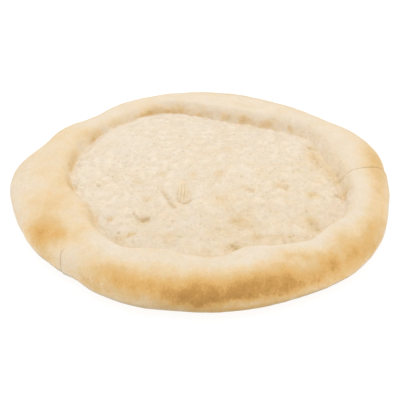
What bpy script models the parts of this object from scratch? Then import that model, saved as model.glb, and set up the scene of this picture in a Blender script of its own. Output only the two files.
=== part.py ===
"""A plain par-baked pizza base, 28 cm across: a round of dough with a rolled, raised edge and a
puffed crumb inside it. One solid. The top is worked out section by section from named sizes:
the edge is a roll, the crumb is a low pillow, and the two meet in a furrow. Metres, +Z up."""

import bpy
import numpy as np
from mathutils import Vector, noise

NODE = "pizza_base"
MM = 0.001

# The round of dough
OUTLINE_RADIUS = 137.3 * MM
EDGE_HEIGHT = 25.0 * MM
GIRTH_HEIGHT = 9.5 * MM      # where the edge bulges farthest out
CONTACT_INSET = 14.0 * MM    # from the outline in to where the edge meets the table
EDGE_FULLNESS = 0.85         # 1 is a plain oval section, less is fuller
CREST_RADIUS = 109.5 * MM
WALL_RUN = 13.0 * MM         # from the crest in to the foot of the roll
WALL_FULLNESS = 2.6          # 2 is a plain parabola, more holds its height and then drops
FLOOR_HEIGHT = 10.0 * MM     # thinnest bread, at the bottom of the furrow

# The puffed crumb
CRUMB_HEIGHT = 16.8 * MM
CRUMB_TILT = 0.010           # the crumb rises toward +Y
CRUMB_EDGE_GAP = 7.5 * MM    # from the crest in to the end of the crumb's shoulder
CRUMB_SHOULDER = 11.0 * MM
MEETING_SOFTNESS = 1.6 * MM  # how round the bottom of the furrow is

# Hand-rolled unevenness: (direction in degrees, spread in degrees, amount)
OUTLINE_SWELLS = [
    (21, 10, 5.7 * MM), (43, 7, -3.2 * MM), (86, 15, 4.9 * MM), (120, 9, 3.9 * MM),
    (132, 5, -2.8 * MM), (146, 4.5, 2.3 * MM), (160, 4.5, -3.6 * MM), (173, 12.5, 7.4 * MM),
    (222, 4, -1.6 * MM), (231, 3.5, -3.2 * MM), (251, 5.5, 1.4 * MM), (277, 5, 0.7 * MM),
    (318, 12, 2.7 * MM), (350, 6, -1.6 * MM),
]
CREST_SWELLS = [
    (12, 10, 5.0 * MM), (38, 11, 8.0 * MM), (77, 15, -8.0 * MM), (107, 9, 7.5 * MM),
    (142, 24, 10.0 * MM), (203, 15, -8.0 * MM), (240, 8, 3.0 * MM), (254, 7, -5.5 * MM),
    (287, 5, -7.0 * MM), (318, 9, 5.0 * MM), (342, 11, 7.5 * MM), (309, 5, 4.0 * MM),
    (332, 4.5, 3.5 * MM),
]
HEIGHT_SWELLS = [
    (84, 17, 2.0 * MM), (136, 17, -3.0 * MM), (195, 24, -2.5 * MM), (300, 22, 0.8 * MM),
    (350, 6, 0.6 * MM), (10, 7, -0.8 * MM), (216, 5, -1.2 * MM),
]
WALL_SWELLS = [(18, 12, 6.0 * MM), (100, 26, -4.5 * MM), (160, 14, 4.0 * MM), (203, 6, 6.0 * MM)]
GAP_SWELLS = [(105, 28, -5.0 * MM), (153, 13, 5.0 * MM), (231, 8, 3.0 * MM), (203, 6, -3.0 * MM)]
SHOULDER_SWELLS = [(14, 22, 20.0 * MM), (285, 34, 12.0 * MM)]

# Two seams where the roll of dough overlaps itself. Each starts at this distance from the middle
# and in this direction, and leans by so many degrees for each metre farther out. The lap is the
# end of the roll that stands proud beside it; it sinks back over so many degrees.
SEAMS = [
    dict(start=0.5, inner=107.5 * MM, lean=165.0, middle=2.5, depth=1.7 * MM, lap_side=-1),
    dict(start=224.2, inner=129 * MM, lean=300.0, middle=225.0, depth=1.8 * MM, lap_side=1),
]
SEAM_HALF_WIDTH = 1.1        # degrees
SEAM_FADE = 6.0 * MM
LAP_RISE = 0.9 * MM
LAP_LENGTH = 7.0

# Dents in the crumb: x, y, radius across, radius along, depth
THUMB_DENTS = [
    (-14 * MM, -23 * MM, 6 * MM, 11 * MM, 3.4 * MM), (-41 * MM, -50 * MM, 8 * MM, 7 * MM, 3.0 * MM),
    (36 * MM, -58 * MM, 17 * MM, 9 * MM, 2.0 * MM), (-55 * MM, -68 * MM, 9 * MM, 7 * MM, 1.5 * MM),
    (14 * MM, -2 * MM, 9 * MM, 8 * MM, 1.6 * MM), (60 * MM, -10 * MM, 9 * MM, 7 * MM, 1.5 * MM),
    (78 * MM, -60 * MM, 8 * MM, 6 * MM, 1.6 * MM), (-60 * MM, 24 * MM, 9 * MM, 8 * MM, 1.2 * MM),
]
# Raised folds in the crumb: from x, y to x, y, half width, height
FOLDS = [
    (-42 * MM, -73 * MM, -22 * MM, -51 * MM, 4.5 * MM, 1.5 * MM),
    (6 * MM, -42 * MM, 38 * MM, -33 * MM, 5.5 * MM, 1.5 * MM),
    (42 * MM, -33 * MM, 96 * MM, -39 * MM, 5.0 * MM, 1.3 * MM),
]
CRUMB_WAVE = (17 * MM, 0.9 * MM)     # size and height of the crumb's own unevenness
EDGE_WAVE = (30 * MM, 0.7 * MM)

# Facets
COLUMNS = 150
CRUMB_RINGS = 13
WALL_RINGS = 8
OUTER_RINGS = 9
UNDER_RINGS = 4
SEAM_CROWDING = (3.4, 5.0)   # columns stand this much closer at a seam, over these degrees
SEAM_REACH = 9.0             # degrees to each side in which columns run along a seam

CRUST_COLOUR = (0.83, 0.66, 0.42, 1.0)


def turn(angle, centre):
    """Signed degrees from centre to angle, between -180 and 180."""
    return (angle - centre + 180.0) % 360.0 - 180.0


def swell(angle, swells):
    return sum(amount * np.exp(-0.5 * (turn(angle, middle) / spread) ** 2)
               for middle, spread, amount in swells)


def wave(points, size, seed):
    """Smooth noise of about the given size at each point, between -1 and 1."""
    shift = Vector((seed * 7.3, seed * 3.1, seed * 5.7))
    return np.array([noise.noise(Vector(p) / size + shift) for p in points])


def outline_radius(angle):
    return OUTLINE_RADIUS + swell(angle, OUTLINE_SWELLS)


def crest_radius(angle):
    return CREST_RADIUS + swell(angle, CREST_SWELLS)


def wall_run(angle):
    return WALL_RUN + swell(angle, WALL_SWELLS)


def crest_height(angle):
    return EDGE_HEIGHT + swell(angle, HEIGHT_SWELLS)


def larger(a, b):
    """The larger of two heights, rounded where they cross."""
    k = MEETING_SOFTNESS
    top = np.maximum(a, b)
    return top + k * np.log(np.exp((a - top) / k) + np.exp((b - top) / k))


def seam_line(radius, seam):
    """Direction of a seam's line at this distance from the middle."""
    return seam["start"] + seam["lean"] * (np.maximum(radius, seam["inner"]) - seam["inner"])


def seam_relief(radius, angle, seam):
    """The groove of a seam, and the lap of dough that stands proud on one side of it."""
    off = turn(angle, seam_line(radius, seam)) * seam["lap_side"]
    groove = -seam["depth"] * np.exp(-0.5 * (off / SEAM_HALF_WIDTH) ** 2)
    lap = np.where(off > 0, LAP_RISE * np.exp(-np.maximum(off, 0) / LAP_LENGTH), 0.0)
    return np.clip((radius - seam["inner"]) / SEAM_FADE + 0.7, 0, 1) * (groove + lap)


def edge_relief(points, radius, angle):
    size, height = EDGE_WAVE
    return height * wave(points, size, 1) + sum(seam_relief(radius, angle, seam) for seam in SEAMS)


def crumb_relief(x, y):
    size, height = CRUMB_WAVE
    flat = np.column_stack([x, y, np.zeros_like(x)])
    z = height * wave(flat, size, 2) + 0.6 * height * wave(flat, 2.4 * size, 3)
    for cx, cy, across, along, depth in THUMB_DENTS:
        z = z - depth * np.exp(-(((x - cx) / across) ** 2 + ((y - cy) / along) ** 2))
    for x0, y0, x1, y1, half_width, height in FOLDS:
        t = np.clip(((x - x0) * (x1 - x0) + (y - y0) * (y1 - y0)) / ((x1 - x0) ** 2 + (y1 - y0) ** 2), 0, 1)
        away = np.hypot(x - x0 - t * (x1 - x0), y - y0 - t * (y1 - y0))
        z = z + height * np.exp(-(away / half_width) ** 2)
    return z


def crumb_height(x, y, radius, angle):
    edge = crest_radius(angle) - CRUMB_EDGE_GAP - swell(angle, GAP_SWELLS)
    shoulder = CRUMB_SHOULDER + swell(angle, SHOULDER_SWELLS)
    top = CRUMB_HEIGHT + CRUMB_TILT * y
    past = np.maximum(radius - (edge - shoulder), 0) / shoulder
    return top - (top - FLOOR_HEIGHT) * past ** 2 + crumb_relief(x, y)


def roll_height(radius, angle):
    """Inner side of the rolled edge, from its crest down to its foot and on below the floor."""
    height = crest_height(angle)
    inward = np.maximum(crest_radius(angle) - radius, 0) / wall_run(angle)
    return height - (height - FLOOR_HEIGHT) * np.minimum(inward, 2.0) ** WALL_FULLNESS


def turned_profile():
    """Half section, from the middle of the top out over the edge and under to the middle."""
    foot, crest = CREST_RADIUS - WALL_RUN, CREST_RADIUS
    section = [(foot * i / CRUMB_RINGS, CRUMB_HEIGHT) for i in range(CRUMB_RINGS)]
    section += [(foot + (crest - foot) * i / WALL_RINGS, EDGE_HEIGHT) for i in range(WALL_RINGS + 1)]
    for i in range(1, OUTER_RINGS + 1):
        section.append(arc_point(crest, EDGE_HEIGHT, OUTLINE_RADIUS, GIRTH_HEIGHT, i / OUTER_RINGS))
    for i in range(1, UNDER_RINGS + 1):
        section.append(arc_point(OUTLINE_RADIUS - CONTACT_INSET, 0, OUTLINE_RADIUS, GIRTH_HEIGHT,
                                 1 - i / UNDER_RINGS))
    return section + [(0.0, 0.0)]


def arc_point(top_radius, top_height, side_radius, side_height, share):
    """On the quarter arc from (top_radius, top_height) out to (side_radius, side_height)."""
    a = share * np.pi / 2
    return (top_radius + (side_radius - top_radius) * np.sin(a) ** EDGE_FULLNESS,
            side_height + (top_height - side_height) * np.cos(a) ** EDGE_FULLNESS)


def gathered(angle):
    """Even column directions drawn together at the seams."""
    closer, spread = SEAM_CROWDING
    full = np.linspace(0, 360, 7201)
    rate = 1 + closer * sum(np.exp(-0.5 * (turn(full, seam["middle"]) / spread) ** 2) for seam in SEAMS)
    reach = np.concatenate([[0], np.cumsum((rate[1:] + rate[:-1]) / 2)])
    return np.interp(angle / 360 * reach[-1], reach, full)


def leaned(radius, angle):
    """Columns near a seam run along it."""
    for seam in SEAMS:
        aside = turn(seam_line(radius, seam), seam["middle"])
        angle = angle + aside * np.exp(-0.5 * (turn(angle, seam["middle"]) / SEAM_REACH) ** 2)
    return angle


def shaped(flat):
    """Moves the turned round's points to the uneven, risen shape."""
    nominal, level = np.hypot(flat[:, 0], flat[:, 1]), flat[:, 2]
    angle = leaned(nominal, gathered(np.degrees(np.arctan2(flat[:, 1], flat[:, 0])) % 360.0))
    radius = spread_radius(nominal, level, angle)
    x, y = radius * np.cos(np.radians(angle)), radius * np.sin(np.radians(angle))
    share = (level - GIRTH_HEIGHT) / (EDGE_HEIGHT - GIRTH_HEIGHT)
    side = GIRTH_HEIGHT + share * (crest_height(angle) - GIRTH_HEIGHT)
    top = larger(roll_height(radius, angle), crumb_height(x, y, radius, angle))
    z = np.where(nominal < CREST_RADIUS - 1e-9, top, side)
    z = np.where(is_under(level), level, z)
    return relieved(np.column_stack([x, y, z]), nominal, radius, angle)


def is_under(level):
    return level < GIRTH_HEIGHT - 1e-6


def spread_radius(nominal, level, angle):
    """Stretches the crumb, the wall and the roll of the plain round to this direction's sizes."""
    outline, crest = outline_radius(angle), crest_radius(angle)
    marks = [0, CREST_RADIUS - WALL_RUN, CREST_RADIUS, OUTLINE_RADIUS]
    goals = [np.zeros_like(angle), crest - wall_run(angle), crest, outline]
    above = goals[0]
    for low, high, near, far in zip(marks, marks[1:], goals, goals[1:]):
        share = np.clip((nominal - low) / (high - low), 0, 1)
        above = np.where(nominal > low, near + share * (far - near), above)
    contact = OUTLINE_RADIUS - CONTACT_INSET
    below = nominal + (outline - OUTLINE_RADIUS) * np.clip(nominal / contact, 0, 1)
    return np.where(is_under(level), below, above)


def relieved(points, nominal, radius, angle):
    """Adds the edge's waves and seams, square to the roll, and leaves the underside flat."""
    relief = edge_relief(points, radius, angle)
    relief = relief * np.clip((nominal - CREST_RADIUS + WALL_RUN) / SEAM_FADE, 0, 1)
    relief = relief * np.clip(points[:, 2] / SEAM_FADE, 0, 1)
    outward = np.clip((nominal - CREST_RADIUS) / (OUTLINE_RADIUS - CREST_RADIUS), 0, 1)
    outward = np.where(is_under(points[:, 2]), 1.0, outward) * np.pi / 2
    stretch = 1 + relief * np.sin(outward) / np.maximum(radius, MM)
    return np.column_stack([points[:, 0] * stretch, points[:, 1] * stretch,
                            points[:, 2] + relief * np.cos(outward)])


def dough_round():
    """The round as a turned solid, before it is shaped."""
    mesh = bpy.data.meshes.new(NODE)
    profile = [(r, 0.0, z) for r, z in turned_profile()]
    mesh.from_pydata(profile, [(i, i + 1) for i in range(len(profile) - 1)], [])
    base = bpy.data.objects.new(NODE, mesh)
    screw = base.modifiers.new("turned", "SCREW")
    screw.axis, screw.angle = "Z", 2 * np.pi
    screw.steps = screw.render_steps = COLUMNS
    screw.use_merge_vertices, screw.merge_threshold = True, 0.00002
    screw.use_smooth_shade = True
    return base


def baked(base, collection):
    """Applies the turning, shapes the result and stands it over the origin."""
    collection.objects.link(base)
    solid = bpy.data.meshes.new_from_object(base.evaluated_get(bpy.context.evaluated_depsgraph_get()))
    base.modifiers.clear()
    base.data = solid
    solid.name = NODE
    flat = np.empty(len(solid.vertices) * 3)
    solid.vertices.foreach_get("co", flat)
    points = shaped(flat.reshape(-1, 3))
    points[:, :2] -= (points[:, :2].min(0) + points[:, :2].max(0)) / 2
    solid.vertices.foreach_set("co", points.ravel())
    solid.update()


def crust_material():
    material = bpy.data.materials.new("baked_dough")
    material.use_nodes = True
    shader = material.node_tree.nodes["Principled BSDF"]
    shader.inputs["Base Color"].default_value = CRUST_COLOUR
    shader.inputs["Roughness"].default_value = 0.85
    return material


def main():
    for old in list(bpy.data.objects):
        bpy.data.objects.remove(old, do_unlink=True)
    collection = bpy.data.collections.new("pizza_base")
    bpy.context.scene.collection.children.link(collection)
    base = dough_round()
    baked(base, collection)
    base.data.materials.clear()
    base.data.materials.append(crust_material())


main()
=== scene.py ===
"""A plain par-baked pizza base, 28 cm across, as it looks: a pale round of dough, golden to brown on
its rolled edge, with a puffed, porous crumb inside. Its form has the sizes of the plain solid, with
finer relief over it. Metres, +Z up."""

import bpy
import numpy as np
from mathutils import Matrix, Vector, noise


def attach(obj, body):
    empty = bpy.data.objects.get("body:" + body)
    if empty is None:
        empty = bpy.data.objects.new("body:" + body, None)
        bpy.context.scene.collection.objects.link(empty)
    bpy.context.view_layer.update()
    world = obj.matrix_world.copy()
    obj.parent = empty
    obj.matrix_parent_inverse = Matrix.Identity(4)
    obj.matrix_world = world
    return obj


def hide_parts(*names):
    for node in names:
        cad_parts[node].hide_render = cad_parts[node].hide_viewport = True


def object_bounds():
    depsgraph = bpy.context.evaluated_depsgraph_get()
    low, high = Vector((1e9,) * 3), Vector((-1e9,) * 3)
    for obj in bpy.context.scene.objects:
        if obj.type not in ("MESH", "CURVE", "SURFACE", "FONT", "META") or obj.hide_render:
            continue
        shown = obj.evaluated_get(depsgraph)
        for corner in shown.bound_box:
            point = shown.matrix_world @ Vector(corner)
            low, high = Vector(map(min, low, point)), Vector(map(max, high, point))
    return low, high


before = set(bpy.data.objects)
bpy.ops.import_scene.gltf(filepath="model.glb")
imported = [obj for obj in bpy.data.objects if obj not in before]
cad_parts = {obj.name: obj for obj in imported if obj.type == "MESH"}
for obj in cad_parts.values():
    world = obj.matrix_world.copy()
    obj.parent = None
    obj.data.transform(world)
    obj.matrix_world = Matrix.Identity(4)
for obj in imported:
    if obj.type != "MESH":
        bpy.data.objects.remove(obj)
PLAIN_LOW, PLAIN_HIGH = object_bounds()

MM = 0.001


def mm(*lengths):
    """Lengths given in millimetres."""
    return tuple(length * MM for length in lengths)


# Degrees round the roll of the edge; the crumb counts as its foot and the underside as the table
FOOT, CREST, GIRTH, TABLE = -90, 0, 90, 180

# The round of dough
OUTLINE_RADIUS = 137.3 * MM
EDGE_HEIGHT = 25.0 * MM
GIRTH_HEIGHT = 9.5 * MM  # where the edge bulges farthest out
CONTACT_INSET = 14.0 * MM  # from the outline in to where the edge meets the table
EDGE_FULLNESS = 0.85  # 1 is a plain oval section, less is fuller
CREST_RADIUS = 109.5 * MM
WALL_RUN = 13.0 * MM  # from the crest in to the foot of the roll
WALL_FULLNESS = 2.6  # 2 is a plain parabola, more holds its height and then drops
FLOOR_HEIGHT = 10.0 * MM  # thinnest bread, at the bottom of the furrow
MIDDLE = (-3.031 * MM, 2.176 * MM)  # of the uneven outline's box, which stands over the origin

# The puffed crumb
CRUMB_HEIGHT = 16.8 * MM
CRUMB_TILT = 0.010  # the crumb rises toward +Y
CRUMB_EDGE_GAP = 7.5 * MM  # from the crest in to the end of the crumb's shoulder
CRUMB_SHOULDER = 11.0 * MM
MEETING_SOFTNESS = 1.6 * MM  # how round the bottom of the furrow is

# Hand-rolled unevenness: (direction in degrees, spread in degrees, amount)
OUTLINE_SWELLS = [
    (21, 10, 5.7 * MM), (43, 7, -3.2 * MM), (86, 15, 4.9 * MM), (120, 9, 3.9 * MM),
    (132, 5, -2.8 * MM), (146, 4.5, 2.3 * MM), (160, 4.5, -3.6 * MM), (173, 12.5, 7.4 * MM),
    (222, 4, -1.6 * MM), (231, 3.5, -3.2 * MM), (251, 5.5, 1.4 * MM), (277, 5, 0.7 * MM),
    (318, 12, 2.7 * MM), (350, 6, -1.6 * MM),
]
CREST_SWELLS = [
    (12, 10, 5.0 * MM), (38, 11, 8.0 * MM), (77, 15, -8.0 * MM), (107, 9, 7.5 * MM),
    (142, 24, 10.0 * MM), (203, 15, -8.0 * MM), (240, 8, 3.0 * MM), (254, 7, -5.5 * MM),
    (287, 5, -7.0 * MM), (318, 9, 5.0 * MM), (342, 11, 7.5 * MM), (309, 5, 4.0 * MM),
    (332, 4.5, 3.5 * MM),
]
HEIGHT_SWELLS = [
    (84, 17, 2.0 * MM), (136, 17, -3.0 * MM), (195, 24, -2.5 * MM), (300, 22, 0.8 * MM),
    (350, 6, 0.6 * MM), (10, 7, -0.8 * MM), (216, 5, -1.2 * MM),
]
WALL_SWELLS = [(18, 12, 6.0 * MM), (100, 26, -4.5 * MM), (160, 14, 4.0 * MM), (203, 6, 6.0 * MM)]
GAP_SWELLS = [(105, 28, -5.0 * MM), (153, 13, 5.0 * MM), (231, 8, 3.0 * MM), (203, 6, -3.0 * MM)]
SHOULDER_SWELLS = [(14, 22, 20.0 * MM), (285, 34, 12.0 * MM)]

# Two seams where the roll of dough overlaps itself. Each starts this far from the middle in this
# direction and leans so many degrees for each metre farther out. The lap is the end of the roll
# that stands proud beside it; it sinks back over so many degrees.
SEAMS = [
    dict(start=0.5, inner=107.5 * MM, lean=165.0, middle=2.5, depth=1.1 * MM, lap_side=-1, dark=0.7),
    dict(start=224.6, inner=131 * MM, lean=400.0, middle=225.2, depth=0.6 * MM, lap_side=1, dark=0.5),
]
SEAM_HALF_WIDTH = 0.24  # degrees
SEAM_FADE = 6.0 * MM
SEAM_START = 0.7  # share of it that is there already where it starts
LAP_RISE = 0.9 * MM
LAP_LENGTH = 7.0

# Dents in the crumb: x, y, radius across, radius along, depth
THUMB_DENTS = [
    mm(-14, -23, 6, 11, 3.4), mm(-41, -50, 8, 7, 3), mm(36, -58, 17, 9, 2),
    mm(-55, -68, 9, 7, 1.5), mm(14, -2, 9, 8, 1.6), mm(60, -10, 9, 7, 1.5),
    mm(78, -60, 8, 6, 1.6), mm(-60, 24, 9, 8, 1.2),
]
# Raised folds in the crumb: from x, y to x, y, half width, height
FOLDS = [
    mm(-42, -73, -22, -51, 4.5, 1.5), mm(6, -42, 38, -33, 5.5, 1.5), mm(42, -33, 96, -39, 5, 1.3),
]
CRUMB_WAVE = mm(17, 0.9)  # size and height of the crumb's own unevenness
BROAD_WAVE = (2.4, 0.6)  # times as broad and times as high
EDGE_WAVE = mm(30, 0.7)

# How far apart the surface's points are
TOP_STEP = 0.9 * MM
WALL_STEP = 0.65 * MM  # the wall is steep, so less across its run
ROLL_STEP = 1.2 * MM
LOW_STEP = 1.35 * MM
UNDER_STEP = 2.4 * MM
FEWEST = 6  # points round the smallest ring
ARC_STEPS, TURN_STEPS = 400, 7200  # with which a curve and a turn are measured
TOP_MAP = (0.385, 0.375)  # middle and radius of the top on the texture, as shares of its side
UNDER_MAP = (0.79, 0.20)
UNDER_MARGIN = 1.06  # times its plain radius that the uneven underside reaches
SEAM_CROWDING = (2.6, 4.0)  # points stand this much closer at a seam, over these degrees
SEAM_REACH = 9.0  # degrees to each side in which points run along a seam

# Where each kind of noise is taken from; its further layers count on
SEED = dict(edge=1, crumb=2, broad=3, crumb_grain=10, torn=20, skin=30, drift_x=40, drift_y=41,
            stroke_x=44, stroke_y=45, puffs=50, wrinkles=55, lip=60, streaks=70, up=80, around=90)
SEED_STEPS = (7.3, 3.1, 5.7)

# Where the crumb, the torn wall and the smooth skin meet
CRUMB_MERGE = mm(-1.5, 2.5)  # the crumb's height over the roll, from no crumb to all crumb
MERGE_SPREAD = (1.5, 0.5)  # this much softer, and by that more in front and less at the back
TORN_FROM = (-30, -64)  # degrees round the roll over which the wall grows torn
STEEPEST = 0.35  # least upward share of a surface's direction that counts
LOW_FADE = 3 * MM  # the relief fades below this height

# Fine relief: size and height of each layer
DRIFT = mm(9, 2.4)  # how far places wander, so that the relief looks grown
CRUMB_PUFFS = [mm(8.5, 0.72), mm(4.4, 0.38)]
CRUMB_GRAIN = [mm(2.2, 0.26)]
WRINKLES = mm(2.7, 9, 0.46)  # across, along and height; they run round
WRINKLED_FROM = mm(25, 75)  # distance from the middle over which they grow
WRINKLED_FRONT = (0.15, -30 * MM, 40 * MM)  # share of them at the front, from y to y
PUFFED_FRONT = (0.72, -70 * MM, -20 * MM)
PUFF_MEAN, RIDGE_MEAN = 0.45, 0.4  # so that they leave the crumb's height as it is
DRAWN_OUT = (0.72, 2.6)  # grain is drawn out from front to back by less than 1, less at the back
SMOOTH_PLACE = (-62 * MM, 58 * MM, 30 * MM, 0.55)  # x, y, radius, share of the relief lost
RAGGED_LIP = [mm(14, 1.5), mm(5, 0.6)]
SKIN_GRAIN = [mm(12, 0.30), mm(4.5, 0.13), mm(2.6, 0.08)]
TORN_GRAIN = [mm(5, 0.50), mm(2.4, 0.30)]
TORN_STREAKS = mm(4.2, 12, 0.45)  # across, up the wall, height
STREAK_CONTRAST = 1.6
STREAKED = (125, 55, 1)  # direction and spread of the streaks, strength
BROWNED_RAGGED = [(9.0 * MM, 5.0, 1.0), (3.4 * MM, 3.0, 0.8)]  # size, wander up the roll and round it

# Pores of the crumb: x, y, radius
PORES = [
    mm(-18, 64, 1.4), mm(-42, 64, 1.1), mm(-42, 31, 1.1), mm(-26, 15, 1.1), mm(84, 50, 2.1),
    mm(90, 22, 1.4), mm(100, 9, 1.8), mm(101, 0, 1.5), mm(103, -18, 1.5), mm(37, 17, 1),
    mm(42, 8, 1), mm(43, -22, 1), mm(39, -18, 0.9), mm(47, 56, 0.9), mm(36, 37, 1),
    mm(59, 38, 0.9), mm(-49, -44, 1.1), mm(79, -59, 1.3), mm(-59, 36, 1.1), mm(-61, 22, 1),
    mm(22, -51, 1.4), mm(-80, -36, 1.3), mm(-79, -43, 1.4), mm(-84, -40, 1.5),
]
# Clusters of them: x, y, how far they scatter, radius of the largest, how many
PORE_CLUSTERS = [
    (*mm(-59, 23, 3, 1.1), 4), (*mm(-77, -9, 1.5, 1.6), 3), (*mm(-48, -3, 3, 1.2), 5),
    (*mm(12, 10, 3, 1.2), 7), (*mm(6, -3, 3.5, 1), 8), (*mm(-8, 8, 3, 1.1), 7),
    (*mm(34, -12, 3, 1.2), 8), (*mm(57, -7, 4.5, 1.2), 9), (*mm(79, -20, 2, 1.4), 4),
    (*mm(12, -27, 4, 1.2), 6), (*mm(-65, -50, 1.5, 1.3), 3), (*mm(-55, -70, 4, 1.4), 9),
    (*mm(29, -54, 5, 1.2), 9), (*mm(36, -70, 2.5, 1.3), 6), (*mm(75, -52, 2, 1.4), 4),
    (*mm(52, -72, 6, 1.3), 12), (*mm(-20, -69, 8, 1.2), 14), (*mm(8, -64, 9, 1.2), 12),
    (*mm(21, -81, 3, 1.5), 6), (*mm(88, 30, 7, 1.3), 14), (*mm(97, 2, 4, 1.3), 8),
    (*mm(101, -20, 2.5, 1.4), 7), (*mm(-98, 22, 4, 1.4), 8), (*mm(-88, 66, 4, 1.3), 7),
]
CLUSTER_SIZES = (0.45, 1.0)  # their radius as a share of the largest
STRAY_PORES = (260, 104 * MM, 1.0 * MM)  # how many, how far from the middle, largest radius
STRAY_SIZES, STRAY_SKEW = (0.35, 1.0), 1.5  # the skew makes more of them small
PORE_WIDTHS = (0.6, 1.0)  # as a share of their length
PORE_SEED = 11
PORE_DEPTH, PORE_REACH = 0.55, 3  # of its radius
# a pore's dark colour is partly browned dough, partly painted shade in the hole
DARK_PORE, FAINTEST = 1.6 * MM, 0.2  # a pore of this radius looks dark; the least that one does

# Round wrinkles at blown places of the crumb: x, y, radius, half width, depth, directions from and to
CREASES = [
    (*mm(-14, -18, 10.5, 1.3, -0.5), 190, 350), (*mm(-41, -45, 8, 1, -0.5), 190, 320),
    (*mm(-42, -44, 11.5, 0.9, 0.5), 190, 300), (*mm(-57, -16, 4.5, 0.9, 0.5), 200, 340),
]
CREASE_ENDS = (12, 18)  # degrees outside and inside each end over which they fade
# Brown lines in the skin of the crumb: from x, y to x, y, half width, depth, darkness
STROKES = [
    (*mm(-31, -8, -29.5, -16, 1.1, 0.3), 0.35), (*mm(-29.5, -16, -26, -25, 1.6, 0.6), 0.60),
    (*mm(-26, -25, -21, -34, 2, 0.6), 0.60), (*mm(-18.5, -22, -15, -25.5, 1, 0.7), 0.60),
    (*mm(-15, -25.5, -10, -24, 1.2, 0.8), 0.75), (*mm(-49, -41, -48, -45, 0.9, 0.5), 0.25),
    (*mm(-48, -45, -45, -47.5, 0.9, 0.6), 0.40), (*mm(-45, -47.5, -42, -48.5, 1.1, 0.9), 0.60),
    (*mm(-42, -48.3, -39.5, -47, 1.6, 1.2), 0.78), (*mm(-39.5, -47, -38.5, -45.5, 0.9, 0.6), 0.35),
    (*mm(-27, -77, -19, -80, 1.2, 0.5), 0.40), (*mm(19, -79, 25, -83, 1.9, 0.5), 0.40),
    (*mm(30, -8, 36, -13, 1.9, 0.3), 0.20), (*mm(53, -6, 61, -8, 2.2, 0.25), 0.14),
]
STROKE_WANDER = mm(4, 1)
STROKE_BROWNING = 0.16
STRIPED_DENT = mm(-15, -14.5, 3.6, 9)  # x, y, across, along
STRIPE_SPACING = 2.3 * MM

# Browning, from 0 for pale dough to 1 for brown crust. On the edge it is a band, given by its
# middle and its spreads toward the crest and toward the table, in degrees round the roll.
PALE = 0.06
GOLD_BAND = (66.0, 25.5, 25.0)
BAND_FLATNESS = 2.6  # 2 is a plain bell, more is flatter along its middle
# How much lower the band lies and how golden it is: (direction, spread, amount)
BAND_SHIFTS = [(4, 20, -21.0), (90, 45, 14.0), (198, 12, -30.0), (312, 14, 3.5)]
GOLD_SWELLS = [
    (279, 19, 0.71), (249, 8, 0.4), (238, 7, 0.12), (309, 10, 0.32), (326, 9, 0.22), (213, 8, 0.22),
    (345, 14, 0.14), (8, 13, 0.3), (198, 7, 0.1), (60, 20, 0.18), (100, 18, 0.22), (140, 14, 0.18),
]
GOLD_REST = 0.04  # in all directions
# Browner and paler places of the edge: direction, spread, how far round the roll, spread, amount
FRONT_SPOTS = [
    (228, 4, -7, 14, -0.06), (229, 4, 64, 14, -0.09), (230, 5, 29, 7, 0.1), (236, 3, 89, 8, 0.08),
    (236, 4, 84, 12, 0.04), (236, 4, 72, 12, -0.05), (243, 4, 40, 7, -0.08), (244, 5, 71, 9, -0.08),
    (244, 4, 57, 8, 0.07), (252, 5, 82, 9, -0.24), (252, 4, 41, 7, -0.07), (252, 5, -11, 12, 0.12),
    (256, 3, 58, 10, 0.08), (260, 4, 87, 6, -0.08), (260, 5, 41, 7, -0.09), (260, 4, 29, 8, 0.06),
    (265, 6, 72, 8, 0.05), (265, 5, 71, 10, 0.2), (268, 4, 91, 5, -0.05), (268, 5, 88, 7, 0.16),
    (268, 4, 48, 10, 0.1), (270, 8, -31, 8, 0.12), (272, 6, 78, 9, 0.14), (276, 3, 76, 8, 0.11),
    (276, 5, 41, 7, -0.08), (276, 4, 29, 8, 0.04), (278, 14, 106, 9, 0.4), (280, 7, 89, 6, -0.22),
    (281, 3, 57, 8, 0.08), (284, 4, 72, 11, 0.12), (284, 4, 24, 9, -0.09), (284, 4, -32, 8, 0.07),
    (286, 5, 44, 10, 0.02), (292, 3, 92, 5, -0.06), (292, 3.5, 50, 16, 0.13), (294, 3.2, 70, 9, 0.18),
    (296, 2.2, 18, 14, 0.12), (298, 4, 78, 7, 0.08), (298, 3, 30, 6, -0.05), (300, 3, 54, 6, -0.06),
    (300, 3, 50, 11, -0.18), (300, 4, 22, 9, 0.22), (300, 3, -28, 12, 0.06), (301, 4, 90, 6, -0.12),
    (302, 0.9, 31, 5, 0.16), (305, 2, 82, 6, -0.14), (308, 3, 80, 7, -0.06), (308, 2.2, 57, 12, 0.18),
    (308, 4, 38, 13, 0.09), (308, 3, 36, 7, 0.07), (311, 12, 98, 12, 0.02), (312, 1.5, 58, 14, -0.16),
    (316, 5, -9, 14, 0.08), (316.5, 2.6, 58, 12, 0.22), (316.5, 3.6, 22, 12, 0.3),
    (324, 3, 40, 8, -0.06), (325, 4, 84, 11, 0.12), (328, 4.5, 54, 11, 0.14), (331, 6, 26, 10, 0.11),
    (332, 3, 16, 9, 0.06), (333, 4, 80, 10, 0.07), (341, 4, 90, 8, -0.07), (341, 4, 74, 10, -0.1),
]
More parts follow.
